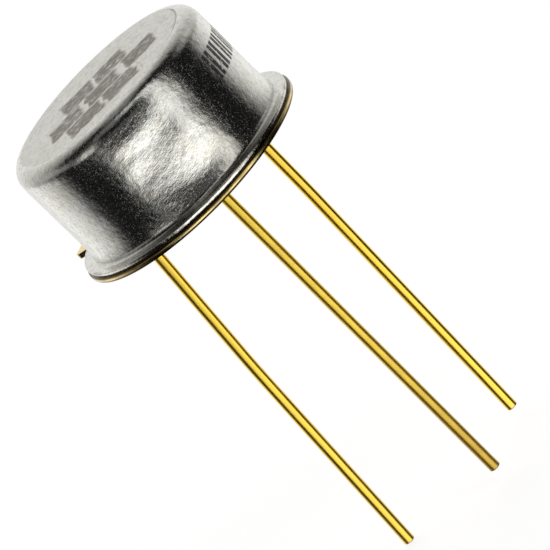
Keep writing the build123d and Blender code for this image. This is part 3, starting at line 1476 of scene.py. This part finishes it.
@dataclass
class Studio:
    """A pale floor in a surround of light panels and dark gaps."""

    gap: float = 0.0095
    back_level: float = 0.95
    back_reach: Point = (-0.04, -0.95)
    back_foot: Point = (-60.0, -35.0)
    panels: tuple[Panel, ...] = (
        Panel(2.00, Band(-41.0, 51.0, 11.5), Band(-48.0, -15.0, 6.0, 12.0)),
        Panel(0.85, Band(-61.0, -43.0, 8.0), Band(0.0, 28.0, 6.0, 18.0)),
        Panel(1.05, Band(27.0, 47.0, 9.0), Band(-12.0, 60.0, 5.0, 9.0)),
        Panel(0.60, Band(-10.0, 28.0, 10.0), Band(49.0, 68.0, 8.0, 6.0)),
        Panel(0.10, Band(-30.0, 20.0, 8.0), Band(2.0, 16.0, 5.0, 8.0)),
        Panel(0.14, Band(-55.0, -10.0, 8.0), Band(42.0, 70.0, 8.0)),
        Panel(0.50, Band(-150.0, -97.0, 14.0), Band(-48.0, -8.0, 6.0)),
        Panel(0.38, Band(108.0, 155.0, 12.0), Band(-48.0, -8.0, 6.0)),
        Panel(0.24, Band(-200.0, 200.0, 5.0), Band(80.0, 100.0, 5.0)),
        Panel(0.26, Band(-112.0, -74.0, 10.0), Band(8.0, 30.0, 8.0)),
        Panel(0.26, Band(84.0, 122.0, 10.0), Band(8.0, 30.0, 8.0)),
    )
    floor_radius: float = 0.6
    floor_sides: int = 128
    floor_colour: Triple = (0.80, 0.80, 0.80)
    floor_glow: float = 0.76

    def light(self) -> None:
        """Build the surround. It is plain white where the camera sees it directly."""
        world = bpy.data.worlds.new("studio")
        bpy.context.scene.world = world
        graph = Graph.inside(world)
        seen = graph.add("ShaderNodeLightPath", output="Is Camera Ray")
        level = graph.math("MAXIMUM", self.surround(graph), seen)
        inputs = {"Color": (1.0, 1.0, 1.0), "Strength": level}
        surround = graph.add("ShaderNodeBackground", None, inputs)
        graph.end("ShaderNodeOutputWorld", "Surface", surround)

    def surround(self, graph: Graph) -> Socket:
        """Build the light's level in each direction.

        Args:
            graph: The world's graph.

        Returns:
            The sum of the gaps' level, the glow at the back and the panels.
        """
        direction = graph.add("ShaderNodeTexCoord", output="Generated")
        ahead = graph.vector("DOT_PRODUCT", direction, heading(FRONT), output="Value")
        side = graph.vector("DOT_PRODUCT", direction, heading(FRONT + 90), output="Value")
        azimuth = graph.math("DEGREES", graph.math("ARCTAN2", side, ahead))
        rise = graph.add("ShaderNodeSeparateXYZ", None, {"Vector": direction}, "Z")
        elevation = graph.math("DEGREES", graph.math("ARCSINE", rise))
        near, far = self.back_reach
        behind = {"Value": ahead, "From Min": near, "From Max": far, "To Max": self.back_level}
        glow = graph.add("ShaderNodeMapRange", None, behind)
        level = glow * elevation.step(*self.back_foot) + self.gap
        for panel in self.panels:
            across = panel.azimuth.mask(azimuth)
            level = level + across * panel.elevation.mask(elevation) * panel.level
        return level

    def lay_floor(self) -> bpy.types.Object:
        """Lay a pale floor at the leads' ends, which keeps the object's shadow.

        Returns:
            The floor, which is no part of the object.
        """
        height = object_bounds()[0][2]
        work = bmesh.new()
        bmesh.ops.create_circle(work, cap_ends=True, segments=self.floor_sides, radius=self.floor_radius)
        bmesh.ops.translate(work, verts=work.verts, vec=(0.0, 0.0, height))
        floor = from_bmesh("floor", work)
        floor.data.materials.append(self.floor_material())
        floor.visible_glossy = False
        floor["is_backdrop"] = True
        return floor

    def floor_material(self) -> bpy.types.Material:
        """Build the floor's material, matt and lifted to white where the camera sees it.

        Returns:
            The new material.
        """
        made = bpy.data.materials.new("pale_floor")
        graph = Graph.inside(made)
        matt = graph.add("ShaderNodeBsdfDiffuse", None, {"Color": self.floor_colour})
        seen = graph.add("ShaderNodeLightPath", output="Is Camera Ray")
        glow = graph.add("ShaderNodeEmission", None, {"Strength": seen * self.floor_glow})
        both = graph.add("ShaderNodeAddShader", None, {0: matt, 1: glow})
        graph.end("ShaderNodeOutputMaterial", "Surface", both)
        return made


@dataclass
class ViewCamera:
    """A long lens that looks down on the can, rolled so that the leads run down to the right."""

    elevation: float = 17.44
    roll: float = 45.59
    distance: float = 113.85 * MM
    aim: Triple = (-0.493 * MM, -1.202 * MM, -4.006 * MM)
    lens: float = 225.0
    clip: Point = (0.01, 10.0)

    def place(self) -> bpy.types.Object:
        """Create the camera and make it the scene's own.

        Returns:
            The camera.
        """
        lift, roll = math.radians(self.elevation), math.radians(self.roll)
        level = Vector(heading(FRONT + 90))
        x, y, _ = heading(FRONT)
        back = Vector((x * math.cos(lift), y * math.cos(lift), math.sin(lift)))
        up = back.cross(level)
        right = level * math.cos(roll) - up * math.sin(roll)
        over = level * math.sin(roll) + up * math.cos(roll)
        data = bpy.data.cameras.new("camera")
        data.lens = self.lens
        data.clip_start, data.clip_end = self.clip
        camera = linked("camera", data)
        axes = Matrix((right, over, back)).transposed().to_4x4()
        camera.matrix_world = Matrix.Translation(Vector(self.aim) + back * self.distance) @ axes
        bpy.context.scene.camera = camera
        return camera


def main() -> None:
    """Build the studio and every piece."""
    logging.basicConfig(level=logging.INFO, format="%(name)s: %(message)s")
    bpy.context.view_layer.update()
    bpy.context.scene.view_settings.view_transform = "Standard"
    ViewCamera().place()
    studio = Studio()
    studio.light()
    studio.lay_floor()
    log.info("camera, lights and floor in place")

    revolve = RevolveTree()
    wire = WireTree()
    Can(NickelFinish("satin_nickel", (0.70, 0.695, 0.65), 0.15)).build(revolve)
    Header(GoldPlateFinish("plated_header", (0.88, 0.68, 0.30), 0.22)).build(revolve)
    for node, slow_bend, tarnish, roughness in (
        ("lead_1", 6.0 * MM, 0.12, 0.27),
        ("lead_2", None, 0.50, 0.31),
        ("lead_3", 3.3 * MM, 0.06, 0.25),
    ):
        tip_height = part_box(node)[0].z / MM
        finish = GoldWireFinish(f"{node}_gold", (0.96, 0.67, 0.09), roughness, tip_height, tarnish)
        Lead(node, finish, slow_bend).build(wire)
    glass = GlassFinish("seal_glass", (0.03, 0.045, 0.045), 0.08)
    for number in (1, 2):
        Seal(f"glass_seal_{number}", f"seal_bead_{number}", glass, Slot.GLASS).build(revolve)
    braze = GoldPlateFinish("braze_fillet", (0.85, 0.72, 0.46), 0.25)
    Seal("earth_braze", "braze_fillet", braze, Slot.BRAZE, blind=True).build(revolve)
    bond = (InnerFinish("bond_wire", (0.82, 0.82, 0.83), 0.25, (0.70, 0.70, 0.72)), Slot.BOND_WIRE)
    silicon = InnerFinish(
        "die_silicon", (0.16, 0.15, 0.19), 0.12, (0.24, 0.22, 0.30), metallic=0.6, scale=4.0
    )
    attach = InnerFinish("attach_layer", (0.83, 0.66, 0.34), 0.35, (0.70, 0.52, 0.24))
    Circuit(
        {
            "die": (silicon, Slot.SILICON),
            "die_attach": (attach, Slot.ATTACH),
            "bond_wire_1": bond,
            "bond_wire_2": bond,
            "bond_wire_earth": bond,
        }
    ).build(frame["nodes"])

    log.info("boxes written")


if __name__ == "__main__":
    main()
